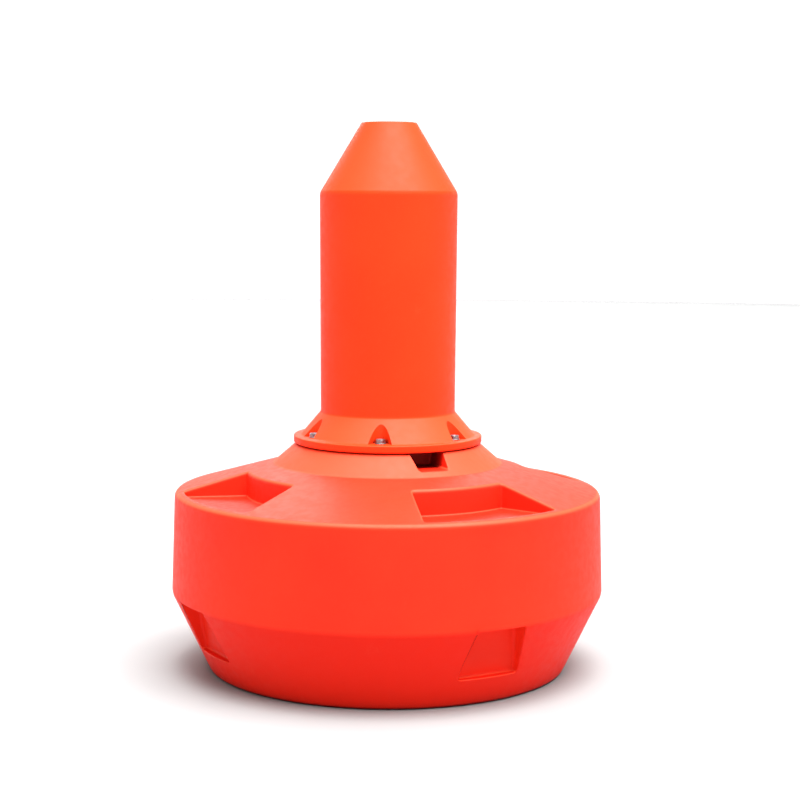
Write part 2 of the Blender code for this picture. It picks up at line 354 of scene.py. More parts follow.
# One plane through the axis is the side of two opposite pockets.
for side in range(DECK_POCKETS):
    azimuth = (POCKET_START, POCKET_END)[side % 2] + (side // 2) * DECK_STEP
    pick_faces(float_shell, in_deck_band)
    across = (math.cos(azimuth), math.sin(azimuth), 0)
    bpy.ops.mesh.bisect(plane_co=(0, 0, 0), plane_no=across)
print("deck pocket faces:", pick_faces(float_shell, in_deck_pocket))
extrude_up(deck_floor - RIM_TOP[1])
bpy.ops.transform.resize(value=(1, 1, 0), center_override=(0, 0, deck_floor))
bpy.ops.object.mode_set(mode="OBJECT")
solid_report(float_shell)

# %% [markdown]
# Between the pockets the two extra rings have done their work. They are dissolved, because a
# ring that runs into a pocket's corner would pull its rounding out into a spike.

# %% Dissolve the spare rings
def is_spare_ring(edge):
    first, second = (face.normal for face in edge.link_faces)
    on_mark = at_radius(edge, POCKET_INNER) or at_radius(edge, POCKET_OUTER)
    return on_mark and first.dot(second) > LEVEL and not at_height(edge, deck_floor)


start_edit(float_shell, "EDGE")
print("spare edges:", pick_edges(float_shell, is_spare_ring))
bpy.ops.mesh.dissolve_edges(use_verts=True)
bpy.ops.object.mode_set(mode="OBJECT")
solid_report(float_shell)

# %% [markdown]
# The upright corners are rounded first, then the rim on the deck, then the foot of the walls.
# An edge shows what it is by how steep its two faces are.

# %% Round the deck pockets
POCKET_CORNER = 0.010
POCKET_EDGE = 0.0115
POCKET_FOOT = 0.006
WALL_SLOPE = 0.3
RIM_REACH = 0.02


def upright(edge):
    start, end = edge.verts
    return radius_of(end.co - start.co) < NEAR and abs(end.co.z - start.co.z) > NEAR


def is_pocket_corner(edge):
    azimuth = azimuth_of(edge.verts[0].co) % DECK_STEP
    at_side = min(abs(azimuth - POCKET_START), abs(azimuth - POCKET_END)) < NEAR
    in_pocket = all(vertex.co.z > deck_floor - NEAR for vertex in edge.verts)
    return upright(edge) and at_side and in_pocket


def slopes(edge):
    return sorted(face.normal.z for face in edge.link_faces)


def halfway(edge):
    return (edge.verts[0].co + edge.verts[1].co) / 2


def in_pocket_ring(edge):
    middle = halfway(edge)
    in_ring = POCKET_INNER - RIM_REACH < radius_of(middle) < POCKET_OUTER + NEAR
    return in_ring and middle.z > deck_floor - NEAR


def is_pocket_top(edge):
    wall, deck = slopes(edge)
    above_floor = halfway(edge).z > deck_floor + NEAR
    return in_pocket_ring(edge) and wall < WALL_SLOPE and DECK_SLOPE < deck < LEVEL and above_floor


def is_pocket_foot(edge):
    wall, floor = slopes(edge)
    on_floor = abs(halfway(edge).z - deck_floor) < NEAR
    return in_pocket_ring(edge) and wall < WALL_SLOPE and floor > LEVEL and on_floor


ease(float_shell, is_pocket_corner, POCKET_CORNER, 4)
ease(float_shell, is_pocket_top, POCKET_EDGE, 5)
ease(float_shell, is_pocket_foot, POCKET_FOOT, 3)
solid_report(float_shell)

# %% [markdown]
# ## Side pockets
# Four pockets bite into the sloping lower side, from a level ledge up to the knuckle. Their
# sizes are read from the solid's ledge and roof, after each corner is turned back to the front.

# %% Side pocket sizes
SIDE_POCKETS = 4
QUARTER = math.tau / SIDE_POCKETS
ledge_height = min(float_floors)
ledge_points = float_floors[ledge_height]
roof_points = float_roofs[KNUCKLE_HEIGHT]
folded = [azimuth_of(point) % QUARTER for point in ledge_points]
SIDE_POCKET_AZIMUTH = (min(folded) + max(folded)) / 2


def from_front(point, azimuth, step):
    """The point turned back to the front, as (across, outwards)."""
    nearest = azimuth + round((azimuth_of(point) - azimuth) / step) * step
    turned = Matrix.Rotation(-nearest, 3, "Z") @ point
    return turned.x, -turned.y


def back_corner(points, azimuth, step):
    """(half width, distance from the axis) of the flat back wall of a pocket at this level."""
    places = [from_front(point, azimuth, step) for point in points]
    back = min(outwards for across, outwards in places)
    return max(across for across, outwards in places if outwards < back + NEAR), back


LEDGE_HALF_WIDTH, LEDGE_BACK = back_corner(ledge_points, SIDE_POCKET_AZIMUTH, QUARTER)
ROOF_HALF_WIDTH, ROOF_BACK = back_corner(roof_points, SIDE_POCKET_AZIMUTH, QUARTER)
print("side pocket azimuth:", round(math.degrees(SIDE_POCKET_AZIMUTH), 2))
print("ledge:", ledge_height, round(LEDGE_HALF_WIDTH, 4), round(LEDGE_BACK, 4))
print("roof:", KNUCKLE_HEIGHT, round(ROOF_HALF_WIDTH, 4), round(ROOF_BACK, 4))

# %% [markdown]
# The flat backs and sides lean in different directions, so a shaped block is cut away here. The
# block starts as a cube whose ends are resized in edit mode. Its inner edges are rounded before
# the cut, which leaves rounded inside corners.

# %% Cut the side pockets
SIDE_POCKET_INSIDE = 0.012
SIDE_POCKET_REACH = HULL_RADIUS + 0.05
MOUTH_DEPTH = 0.02
CUBE_END = 0.9


def block(name, foot, top, near_foot, near_top, low, high, far):
    """A cube shaped to a foot and a top of different widths, with a back wall that may lean."""
    bpy.ops.mesh.primitive_cube_add(size=2, location=(0, 0, 0))
    shaped = bpy.context.object
    shaped.name = name
    for end, half_width, near, height in ((-1, foot, near_foot, low), (1, top, near_top, high)):
        start_edit(shaped, "FACE")
        pick_faces(shaped, lambda middle, normal: middle.z * end > CUBE_END)
        bpy.ops.transform.resize(value=(half_width, (far - near) / 2, 1), center_override=(0, 0, end))
        bpy.ops.transform.translate(value=(0, -(far + near) / 2, height - end))
        bpy.ops.object.mode_set(mode="OBJECT")
    return shaped


def turn_about_axis(part, azimuth):
    part.data.transform(Matrix.Rotation(azimuth, 4, "Z"))
    part.data.update()


def at_back(edge):
    """An edge of a cutter's back wall, or one that runs out from it."""
    return any(-vertex.co.y < HULL_RADIUS - MOUTH_DEPTH for vertex in edge.verts)


def touches_height(edge, height):
    return any(abs(vertex.co.z - height) < NEAR for vertex in edge.verts)


for number in range(SIDE_POCKETS):
    cutter = block(
        "side_pocket_cutter", LEDGE_HALF_WIDTH, ROOF_HALF_WIDTH, LEDGE_BACK, ROOF_BACK,
        ledge_height, KNUCKLE_HEIGHT, SIDE_POCKET_REACH,
    )
    ease(cutter, lambda edge: at_back(edge) and touches_height(edge, ledge_height), SIDE_POCKET_INSIDE, 4)
    turn_about_axis(cutter, SIDE_POCKET_AZIMUTH + number * QUARTER)
    cut_away(float_shell, cutter)
solid_report(float_shell)

# %% [markdown]
# ## Neck notches
# Two slots run under the tower's flange, so that a sling can be passed round the neck. Their
# sides are drafted, which is how the moulding leaves its mould. They are cut with the same
# kind of block, which stands clear of the seat so that the cut is open at the top.

# %% Neck notch sizes
NOTCHES = 2
NOTCH_STEP = math.tau / NOTCHES
notch_floor = max(height for height in float_floors if height < NECK_TOP_HEIGHT)
notch_points = float_floors[notch_floor]
folded = [azimuth_of(point) % NOTCH_STEP for point in notch_points]
NOTCH_AZIMUTH = (min(folded) + max(folded)) / 2
NOTCH_FOOT, NOTCH_BACK = back_corner(notch_points, NOTCH_AZIMUTH, NOTCH_STEP)
ring_points = float_floors[SEAT_HEIGHT]
mouth_points = [point for point in ring_points if NOTCH_BACK < radius_of(point) < SEAT_RADIUS - NEAR]
NOTCH_MOUTH = back_corner(mouth_points, NOTCH_AZIMUTH, NOTCH_STEP)[0]
print("notch azimuth:", round(math.degrees(NOTCH_AZIMUTH), 2), "floor:", notch_floor)
print("back:", round(NOTCH_BACK, 4), "half widths:", round(NOTCH_FOOT, 4), round(NOTCH_MOUTH, 4))

# %% Cut the neck notches
NOTCH_INSIDE = 0.008
NOTCH_HEADROOM = 0.04
NOTCH_REACH = POCKET_INNER - 0.03
draft = (NOTCH_MOUTH - NOTCH_FOOT) / (SEAT_HEIGHT - notch_floor)
for number in range(NOTCHES):
    cutter = block(
        "neck_notch_cutter", NOTCH_FOOT, NOTCH_MOUTH + draft * NOTCH_HEADROOM, NOTCH_BACK, NOTCH_BACK,
        notch_floor, SEAT_HEIGHT + NOTCH_HEADROOM, NOTCH_REACH,
    )
    ease(cutter, lambda edge: at_back(edge) and touches_height(edge, notch_floor), NOTCH_INSIDE, 3)
    turn_about_axis(cutter, NOTCH_AZIMUTH + number * NOTCH_STEP)
    cut_away(float_shell, cutter)
solid_report(float_shell)

# %% [markdown]
# The rims of these cuts are rounded last. They are found as the outside corners that lie near
# a pocket's own azimuth, between its floor and its top.

# %% Round the rims
RIM_ANGLE = math.radians(30)
RIM_SPAN = math.radians(14)
SIDE_POCKET_EDGE = 0.006
NOTCH_EDGE = 0.005
SIDE_RIM_TOP = KNUCKLE_HEIGHT - 0.9 * KNUCKLE_EDGE


def near_azimuth(point, azimuth, step):
    away = (azimuth_of(point) - azimuth) % step
    return min(away, step - away) < RIM_SPAN


def is_rim(edge, azimuth, step, low, high):
    """An outside corner of a cut-out, between two heights."""
    inside = all(low - NEAR < vertex.co.z < high + NEAR for vertex in edge.verts)
    near = all(near_azimuth(vertex.co, azimuth, step) for vertex in edge.verts)
    return inside and near and edge.calc_face_angle_signed() > RIM_ANGLE


def is_side_rim(edge):
    return is_rim(edge, SIDE_POCKET_AZIMUTH, QUARTER, ledge_height, SIDE_RIM_TOP)


def is_notch_rim(edge):
    outside = all(radius_of(vertex.co) > NECK_TOP_RADIUS - NEAR for vertex in edge.verts)
    return outside and is_rim(edge, NOTCH_AZIMUTH, NOTCH_STEP, notch_floor, NECK_TOP_HEIGHT)


ease(float_shell, is_side_rim, SIDE_POCKET_EDGE, 3)
ease(float_shell, is_notch_rim, NOTCH_EDGE, 3)
solid_report(float_shell)

# %% [markdown]
# Two holes in the base let the foam be poured in. Each is drilled a little wider than its
# plug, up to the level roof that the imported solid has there.

# %% Filling holes
PLUGS = ["fill_plug_1", "fill_plug_2"]
PLUG_FACETS = 48
HOLE_GAP = 0.001
plug_roof = min((height for height in float_roofs if height > NEAR), default=0)


def middle_of(node):
    low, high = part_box(node)
    return (low + high) / 2


for plug in PLUGS:
    low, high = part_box(plug)
    hole_radius = (high.x - low.x) / 2 + HOLE_GAP
    hole = turn("fill_hole", [(hole_radius, -plug_roof), (hole_radius, plug_roof)], PLUG_FACETS)
    hole.data.transform(Matrix.Translation((middle_of(plug).x, middle_of(plug).y, 0)))
    cut_away(float_shell, hole)
solid_report(float_shell)

# %% [markdown]
# ## The tower's body
# The tower is the second moulding: a flange, a flared skirt, a drum and a cone with a flat top.
# Six pockets in its skirt make room for the bolt heads. They are measured first, so that the
# tower can be turned with a facet squarely behind each bolt. The seat in a pocket stands a
# little above the flange, and the back of a pocket is a parabola, seen from above.

# %% Tower outline and bolt pocket sizes
FLANGE_TOP = min(tower_floors)
above_flange = [ring for ring in TOWER_RINGS if ring[1] >= FLANGE_TOP][1:]
skirt_foot, drum_foot, drum_top = above_flange[:3]
flange_foot = (max(TOWER_RINGS)[0], TOWER_RINGS[0][1])
flange_lip = (flange_foot[0], FLANGE_TOP)
BOLTS = 6
BOLT_STEP = math.tau / BOLTS
BOLT_SEAT = FLANGE_TOP + 0.001
seat_points = tower_floors[max(height for height in tower_floors if height < drum_foot[1])]
deepest = min(seat_points, key=lambda point: (round(radius_of(point), 4), abs(azimuth_of(point))))
pocket_reach = skirt_foot[0] / 4
one_pocket = [azimuth_of(point) for point in seat_points if (point - deepest).length < pocket_reach]
BOLT_AZIMUTH = (min(one_pocket) + max(one_pocket)) / 2
ARCH_BACK = radius_of(deepest)
half_width, front = max(from_front(point, BOLT_AZIMUTH, BOLT_STEP) for point in seat_points)
ARCH_CURVE = (front - ARCH_BACK) / half_width**2
print("bolt azimuth:", round(math.degrees(BOLT_AZIMUTH), 2), "seat:", round(BOLT_SEAT, 4))
print("back:", round(ARCH_BACK, 4), "half width:", round(half_width, 4), "curve:", round(ARCH_CURVE, 2))

# %% [markdown]
# The tower is turned like the float. The corners of its outline are soft, because melted
# plastic doesn't fill a sharp corner of a mould.

# %% Turn the tower
TOWER_FACETS = 96
TOWER_TWIST = BOLT_AZIMUTH + math.pi / TOWER_FACETS
FLANGE_EDGE = 0.004
TOWER_EDGES = [
    (flange_foot, FLANGE_EDGE), (flange_lip, FLANGE_EDGE),
    (skirt_foot, 0.005), (drum_foot, 0.005), (drum_top, 0.009),
]
tower_shell = turn("tower_shell", [flange_foot, flange_lip] + above_flange, TOWER_FACETS, TOWER_TWIST)
for (radius, height), width in TOWER_EDGES:
    ease(tower_shell, on_ring(radius, height), width, 4)
solid_report(tower_shell)

# %% [markdown]
# ## Bolt pockets
# The cutter is upright with a parabolic back, and where it meets the slope of the skirt it
# leaves an arch. It starts as a flat grid whose back row is drawn into the curve, and is then
# extruded upwards. The rims are left crisp, because a rounding would crease the curved backs.

# %% Cut the bolt pockets
BOLT_POCKET_STEPS = 20
ARCH_REACH = flange_lip[0] + 0.03
ARCH_END = 0.001


def arch_cutter():
    half = math.sqrt((ARCH_REACH - ARCH_BACK) / ARCH_CURVE)
    bpy.ops.mesh.primitive_grid_add(
        x_subdivisions=BOLT_POCKET_STEPS, y_subdivisions=1, size=2, location=(0, 0, BOLT_SEAT)
    )
    cutter = bpy.context.object
    cutter.name = "arch_cutter"
    bpy.ops.object.transform_apply(location=True)
    for vertex in cutter.data.vertices:
        across = vertex.co.x * half
        curved = ARCH_BACK + ARCH_CURVE * across**2
        outwards = curved if vertex.co.y > 0 else ARCH_REACH + ARCH_END
        vertex.co.x, vertex.co.y = across, -outwards
    start_edit(cutter, "FACE")
    bpy.ops.mesh.select_all(action="SELECT")
    extrude_up(drum_foot[1] - BOLT_SEAT)
    bpy.ops.mesh.select_all(action="SELECT")
    bpy.ops.mesh.normals_make_consistent(inside=False)
    bpy.ops.object.mode_set(mode="OBJECT")
    return cutter


for number in range(BOLTS):
    cutter = arch_cutter()
    turn_about_axis(cutter, BOLT_AZIMUTH + number * BOLT_STEP)
    cut_away(tower_shell, cutter)
solid_report(tower_shell)

# %% [markdown]
# ## Hexagon bolts
# The tower is held down by six M20 bolts, each on a round washer. A hexagon cylinder is the
# start of the head. Its top corners are cut back by intersecting it with a turned blank,
# which gives the curved chamfer that real bolt heads have, and the top is dished a little.

# %% A hexagon head and a washer
HEAD_FACETS = 48
HEAD_CHAMFER = 0.16
HEAD_EDGE = 0.02
DISH_BORDER = 0.08
DISH_DEPTH = 0.06
BLANK_REACH = 0.01


def washer(name, radius, thickness, bottom):
    edge = 0.15 * thickness
    rings = [
        (radius - edge, bottom), (radius, bottom + edge),
        (radius, bottom + thickness - edge), (radius - edge, bottom + thickness),
    ]
    return turn(name, rings, HEAD_FACETS)


def hexagon_head(name, across_flats, height, bottom, twist):
    corner = across_flats / math.sqrt(3)
    bpy.ops.mesh.primitive_cylinder_add(
        vertices=6, radius=corner, depth=height,
        location=(0, 0, bottom + height / 2), rotation=(0, 0, twist),
    )
    head = bpy.context.object
    head.name = name
    bpy.ops.object.transform_apply(location=True, rotation=True, scale=True)
    chamfer = HEAD_CHAMFER * height
    blank = turn("blank", [
        (1.1 * corner, bottom - BLANK_REACH), (1.1 * corner, bottom + height - 1.6 * chamfer),
        (0.95 * across_flats / 2, bottom + height), (0.01 * corner, bottom + height + chamfer),
    ], HEAD_FACETS)
    cut_away(head, blank, "INTERSECT")
    start_edit(head, "FACE")
    pick_faces(head, lambda middle, normal: normal.z > LEVEL and middle.z > bottom + 0.9 * height)
    bpy.ops.mesh.inset(thickness=DISH_BORDER * across_flats)
    extrude_up(-DISH_DEPTH * height)
    bpy.ops.transform.resize(value=(0.9, 0.9, 1), center_override=(0, 0, 0))
    bpy.ops.object.mode_set(mode="OBJECT")
    ease(head, upright, HEAD_EDGE * across_flats, 2)
    return head


def join(name, *parts):
    choose(*parts)
    bpy.ops.object.join()
    parts[0].name = name
    parts[0].data.name = name
    return parts[0]


# %% [markdown]
# Each bolt stands on the level seat, with its washer's edge just inside the mouth of the
# pocket. Every bolt is made on its own, because each was tightened to a different angle.

# %% Place the tower bolts
TOWER_BOLT = {"across_flats": 0.030, "height": 0.0125}
WASHER_RADIUS = 0.0195
WASHER_THICKNESS = 0.003
MOUTH_MARGIN = 0.006
CONTACT_GAP = 0.0002
BOLT_CIRCLE = skirt_foot[0] - WASHER_RADIUS - MOUTH_MARGIN
BOLT_TWISTS = [0.2, 0.9, 0.5, 0.1, 0.7, 0.4]
tower_bolts = []
for number, twist in enumerate(BOLT_TWISTS):
    head = hexagon_head("head", bottom=WASHER_THICKNESS, twist=twist, **TOWER_BOLT)
    under = washer("washer", WASHER_RADIUS, WASHER_THICKNESS, 0.0)
    bolt = join(f"tower_bolt_{number + 1}", head, under)
    azimuth = BOLT_AZIMUTH + number * BOLT_STEP
    out = Vector((math.sin(azimuth), -math.cos(azimuth), 0)) * BOLT_CIRCLE
    bolt.data.transform(Matrix.Translation(out + Vector((0, 0, BOLT_SEAT + CONTACT_GAP))))
    smooth(bolt, BOLT_SMOOTH_ANGLE)
    tower_bolts.append(bolt)
print("tower bolts:", len(tower_bolts), "on a circle of radius", round(BOLT_CIRCLE, 4))

# %% [markdown]
# ## Mooring gear
# The chain hangs from a steel lug under the float. The lug is welded to a round plate, which
# is bolted to the roof of the well. The plate is turned with a chamfered lower edge, and six
# M16 bolts hold it up, with their heads hanging down.

# %% Mooring plate and its bolts
PLATE_FACETS = 96
PLATE_CHAMFER = 0.0025
PLATE_EASE = 0.001
PLATE_BOLTS = 6
PLATE_BOLT = {"across_flats": 0.024, "height": 0.010}
PLATE_WASHER_RADIUS = 0.015
PLATE_WASHER_THICKNESS = 0.003
PLATE_BOLT_INSET = 0.030
PLATE_BOLT_GAP = 0.0001
PLATE_BOLT_TURN = 0.3
plate_low, plate_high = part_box("mooring_plate")
plate_radius = plate_high.x
plate_bolt_circle = plate_radius - PLATE_BOLT_INSET
mooring_plate_round = turn("mooring_plate_round", [
    (plate_radius - PLATE_CHAMFER, plate_low.z), (plate_radius, plate_low.z + PLATE_CHAMFER),
    (plate_radius, plate_high.z - PLATE_EASE), (plate_radius - PLATE_EASE, plate_high.z),
], PLATE_FACETS)
for number in range(PLATE_BOLTS):
    twist = PLATE_BOLT_TURN * number
    head = hexagon_head("head", bottom=PLATE_WASHER_THICKNESS, twist=twist, **PLATE_BOLT)
    under = washer("washer", PLATE_WASHER_RADIUS, PLATE_WASHER_THICKNESS, 0.0)
    plate_bolt = join("plate_bolt", head, under)
    azimuth = (number + 0.5) * math.tau / PLATE_BOLTS
    place = Matrix.Translation((
        plate_bolt_circle * math.sin(azimuth), -plate_bolt_circle * math.cos(azimuth),
        plate_low.z - PLATE_BOLT_GAP,
    ))
    plate_bolt.data.transform(place @ Matrix.Rotation(math.pi, 4, "X"))
    join("mooring_plate_round", mooring_plate_round, plate_bolt)
smooth(mooring_plate_round, BOLT_SMOOTH_ANGLE)
solid_report(mooring_plate_round)

# %% [markdown]
# The lug is flame-cut from 25 mm plate. A cube's two lower corners are bevelled by almost half
# its width, so that they meet as a half circle round the eye. The eye is cut with a cylinder,
# and its free edges are eased, because the shackle would wear a sharp one. A weld bead runs
# round the top of the lug, and is a flat block with rounded corners.

# %% Mooring lug
LUG_EASE = 0.002
LUG_ROUND = 0.4999
EYE_RADIUS = 0.026
EYE_FACETS = 64
BEAD = 0.007
lug_low, lug_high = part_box("mooring_lug")
lug_width = lug_high.x - lug_low.x
lug_depth = lug_high.y - lug_low.y


def bar(name, width, depth, low, high):
    bpy.ops.mesh.primitive_cube_add(
        size=1, location=(0, 0, (low + high) / 2), scale=(width, depth, high - low)
    )
    made = bpy.context.object
    made.name = made.data.name = name
    bpy.ops.object.transform_apply(location=True, rotation=True, scale=True)
    return made


def runs_across(edge):
    return abs(edge.verts[0].co.y - edge.verts[1].co.y) > 0.5 * lug_depth


def is_lower_corner(edge):
    return runs_across(edge) and at_height(edge, lug_low.z)


mooring_lug_plate = bar("mooring_lug_plate", lug_width, lug_depth, lug_low.z, lug_high.z)
ease(mooring_lug_plate, is_lower_corner, LUG_ROUND * lug_width, 24)
bpy.ops.mesh.primitive_cylinder_add(
    vertices=EYE_FACETS, radius=EYE_RADIUS, depth=3 * lug_depth,
    location=(0, 0, lug_low.z + lug_width / 2), rotation=(math.pi / 2, 0, 0),
)
eye = bpy.context.object
bpy.ops.object.transform_apply(location=True, rotation=True, scale=True)
cut_away(mooring_lug_plate, eye)
solid_report(mooring_lug_plate)


# %% Ease the lug and weld it on
def is_free_edge(edge):
    sharp = edge.calc_face_angle_signed() > RIM_ANGLE
    return sharp and not runs_across(edge) and not at_height(edge, lug_high.z)


def rises(edge):
    return abs(edge.verts[0].co.z - edge.verts[1].co.z) > NEAR


ease(mooring_lug_plate, is_free_edge, LUG_EASE, 3)
bead = bar("bead", lug_width + 2 * BEAD, lug_depth + 2 * BEAD, lug_high.z - BEAD, lug_high.z)
ease(bead, rises, 1.6 * BEAD, 6)
ease(bead, lambda edge: at_height(edge, lug_high.z - BEAD), 0.9 * BEAD, 5)
join("mooring_lug_plate", mooring_lug_plate, bead)
smooth(mooring_lug_plate)
solid_report(mooring_lug_plate)

# %% [markdown]
# ## Filling plugs
# The two plugs in the base are screwed in with a square key. Each is turned with a rounded
# rim, and a shallow dish with a low boss is inset in its face. The key's socket is cut up into
# the middle of the boss.

# %% Plugs with a square socket
SOCKET = 0.0127
SOCKET_ROOF = 0.002
PLUG_RIM = 0.0015
PLUG_EASE = 0.0004
DISH_RIM, DISH = 0.006, 0.0018
BOSS_RIM, BOSS = 0.010, 0.0014
plug_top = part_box(PLUGS[0])[1].z


def is_plug_edge(edge):
    return edge.calc_face_angle_signed() > RIM_ANGLE and not at_height(edge, plug_top)


filling_plugs = []
for number, plug in enumerate(PLUGS):
    low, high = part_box(plug)
    plug_radius = (high.x - low.x) / 2
    body = turn(f"filling_plug_{number + 1}", [
        (plug_radius - PLUG_RIM, low.z), (plug_radius - 0.3 * PLUG_RIM, low.z + 0.3 * PLUG_RIM),
        (plug_radius, low.z + PLUG_RIM), (plug_radius, high.z),
    ], PLUG_FACETS)
    start_edit(body, "FACE")
    pick_faces(body, lambda middle, normal: normal.z < -LEVEL)
    bpy.ops.mesh.inset(thickness=DISH_RIM)
    extrude_up(DISH)
    bpy.ops.mesh.inset(thickness=BOSS_RIM)
    extrude_up(-BOSS)
    bpy.ops.object.mode_set(mode="OBJECT")
    ease(body, is_plug_edge, PLUG_EASE, 2)
    cut_away(body, bar("key", SOCKET, SOCKET, low.z - 0.01, high.z - SOCKET_ROOF))
    body.data.transform(Matrix.Translation((middle_of(plug).x, middle_of(plug).y, 0)))
    smooth(body)
    filling_plugs.append(body)
print("plugs:", len(filling_plugs))

# %% [markdown]
# ## Riding and replacing
# Nothing on this buoy moves, so every piece rides on the one body. Each modelled piece stands
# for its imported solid, and the bolts are extra.

# %% Place every piece on the body
smooth(float_shell)
smooth(tower_shell)
STANDS_FOR = {
    "float_hull": (float_shell, "hull_polyethylene"),
    "daymark_tower": (tower_shell, "tower_polyethylene"),
    "mooring_plate": (mooring_plate_round, "galvanised_steel"),
    "mooring_lug": (mooring_lug_plate, "galvanised_steel"),
    "fill_plug_1": (filling_plugs[0], "plug_plastic"),
    "fill_plug_2": (filling_plugs[1], "plug_plastic"),
}
finish_of = dict(STANDS_FOR.values())
finish_of.update({bolt: "galvanised_steel" for bolt in tower_bolts})
for node, (piece, slot) in STANDS_FOR.items():
    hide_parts(node)
for piece, slot in finish_of.items():
    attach(piece, "root")
print("pieces:", sorted(piece.name for piece in finish_of))

# %% [markdown]
# ## Finishes
# Every finish is built from noise on the piece's own coordinates, in metres. Two helpers
# carry the repeated steps: one gives a noise pattern, the other mixes two colours by it.

# %% Node helpers
def start_material(name):
    material = bpy.data.materials.new(name)
    material.use_nodes = True
    nodes, links = material.node_tree.nodes, material.node_tree.links
    return material, nodes, links, nodes["Principled BSDF"]


def noise(nodes, links, scale, detail=2.0, stretch=(1, 1, 1)):
    """A noise pattern whose scale is in repeats per metre."""
    place = nodes.new("ShaderNodeTexCoord")
    mapping = nodes.new("ShaderNodeMapping")
    mapping.inputs["Scale"].default_value = stretch
    pattern = nodes.new("ShaderNodeTexNoise")
    pattern.inputs["Scale"].default_value = scale
    pattern.inputs["Detail"].default_value = detail
    links.new(place.outputs["Object"], mapping.inputs["Vector"])
    links.new(mapping.outputs["Vector"], pattern.inputs["Vector"])
    return pattern.outputs["Fac"]


def spread(nodes, links, source, low, high, to_low, to_high):
    """Maps a pattern's values to a new range, with smooth ends."""
    ranged = nodes.new("ShaderNodeMapRange")
    ranged.interpolation_type = "SMOOTHSTEP"
    links.new(source, ranged.inputs["Value"])
    for name, value in (("From Min", low), ("From Max", high), ("To Min", to_low), ("To Max", to_high)):
        ranged.inputs[name].default_value = value
    return ranged.outputs["Result"]


def blend(nodes, links, factor, first, second):
    """Mixes two colours. Each is a colour or another node's output."""
    mix = nodes.new("ShaderNodeMix")
    mix.data_type = "RGBA"
    links.new(factor, mix.inputs["Factor"])
    for name, colour in (("A", first), ("B", second)):
        socket = next(item for item in mix.inputs if item.name == name and item.type == "RGBA")
        if isinstance(colour, tuple):
            socket.default_value = (*colour, 1.0)
        else:
            links.new(colour, socket)
    return next(item for item in mix.outputs if item.type == "RGBA")


def bump(nodes, links, height, strength, distance, under=None):
    node = nodes.new("ShaderNodeBump")
    node.inputs["Strength"].default_value = strength
    node.inputs["Distance"].default_value = distance
    links.new(height, node.inputs["Height"])
    if under:
        links.new(under, node.inputs["Normal"])
    return node.outputs["Normal"]


# %% [markdown]
# ## Moulded polyethylene
# Both mouldings are made from coloured powder that melts inside a turning mould. The colour
# goes right through, and drifts a little where the powder ran thin. The skin has a fine
# orange-peel texture, slow ripples, and faint scuffs where the buoy has been handled. Light
# and shade are painted into the colour as well: deep recesses, such as the neck notches, are
# painted darker as shade, slopes that look up are painted lighter as if lit from above, and
# undersides and level floors are painted a deeper red as shade.

# %% Slopes and recesses
RECESS_REACH = 0.12
# Painted shade: the colour that recesses are darkened towards.
RECESS_SHADE_COLOUR = (0.10, 0.002, 0.002)


def height_of_normal(nodes, links):
    """How steeply a surface looks up: 1 on a level floor, 0 on a wall, -1 underneath."""
    facing = nodes.new("ShaderNodeNewGeometry")
    split = nodes.new("ShaderNodeSeparateXYZ")
    links.new(facing.outputs["Normal"], split.inputs["Vector"])
    return split.outputs["Z"]


def combine(nodes, links, operation, first, second):
    both = nodes.new("ShaderNodeMath")
    both.operation = operation
    both.use_clamp = True
    links.new(first, both.inputs[0])
    links.new(second, both.inputs[1])
    return both.outputs["Value"]


def paint_light_and_shade(nodes, links, body, colours):
    """The body colour with painted light on upward slopes and painted shade on floors and undersides."""
    up = height_of_normal(nodes, links)
    slope = spread(nodes, links, up, 0.30, 0.66, 0.0, 1.0)
    not_level = spread(nodes, links, up, 0.80, 0.985, 1.0, 0.0)
    painted_light = combine(nodes, links, "MULTIPLY", slope, not_level)
    # Painted light: slopes that look up are made lighter, as if lit from above.
    body = blend(nodes, links, painted_light, body, colours["painted_light"])
    floors = spread(nodes, links, up, 0.985, 0.999, 0.0, 1.0)
    undersides = spread(nodes, links, up, -0.40, -0.10, 1.0, 0.0)
    painted_shade = combine(nodes, links, "ADD", floors, undersides)
    # Painted shade: level floors and undersides are made a deeper red.
    return blend(nodes, links, painted_shade, body, colours["painted_shade"])


def paint_recess_shade(nodes, links, body):
    """The body colour, painted darker as shade where little light reaches."""
    recess = nodes.new("ShaderNodeAmbientOcclusion")
    recess.samples = 12
    recess.inputs["Distance"].default_value = RECESS_REACH
    # Painted shade: the less light reaches a place, the darker it is painted.
    recess_shade = spread(nodes, links, recess.outputs["AO"], 0.10, 0.42, 0.95, 0.0)
    return blend(nodes, links, recess_shade, body, RECESS_SHADE_COLOUR)


# %% [markdown]
# The patterns' scales are in repeats per metre, and the depths of the texture in metres. The
# drift repeats over half a metre, the speckle of the powder over a few millimetres.

# %% Polyethylene
DRIFT_SCALE = 2.3
SPECKLE_SCALE = 420.0
STREAK_SCALE = 31.0
ROUGHNESS_SCALE = 38.0
RIPPLE_SCALE, RIPPLE_DEPTH = 9.0, 0.003
PEEL_SCALE, PEEL_DEPTH = 260.0, 0.0003
SKIN_ROUGHNESS = 0.50
SKIN_SPECULAR = 0.13


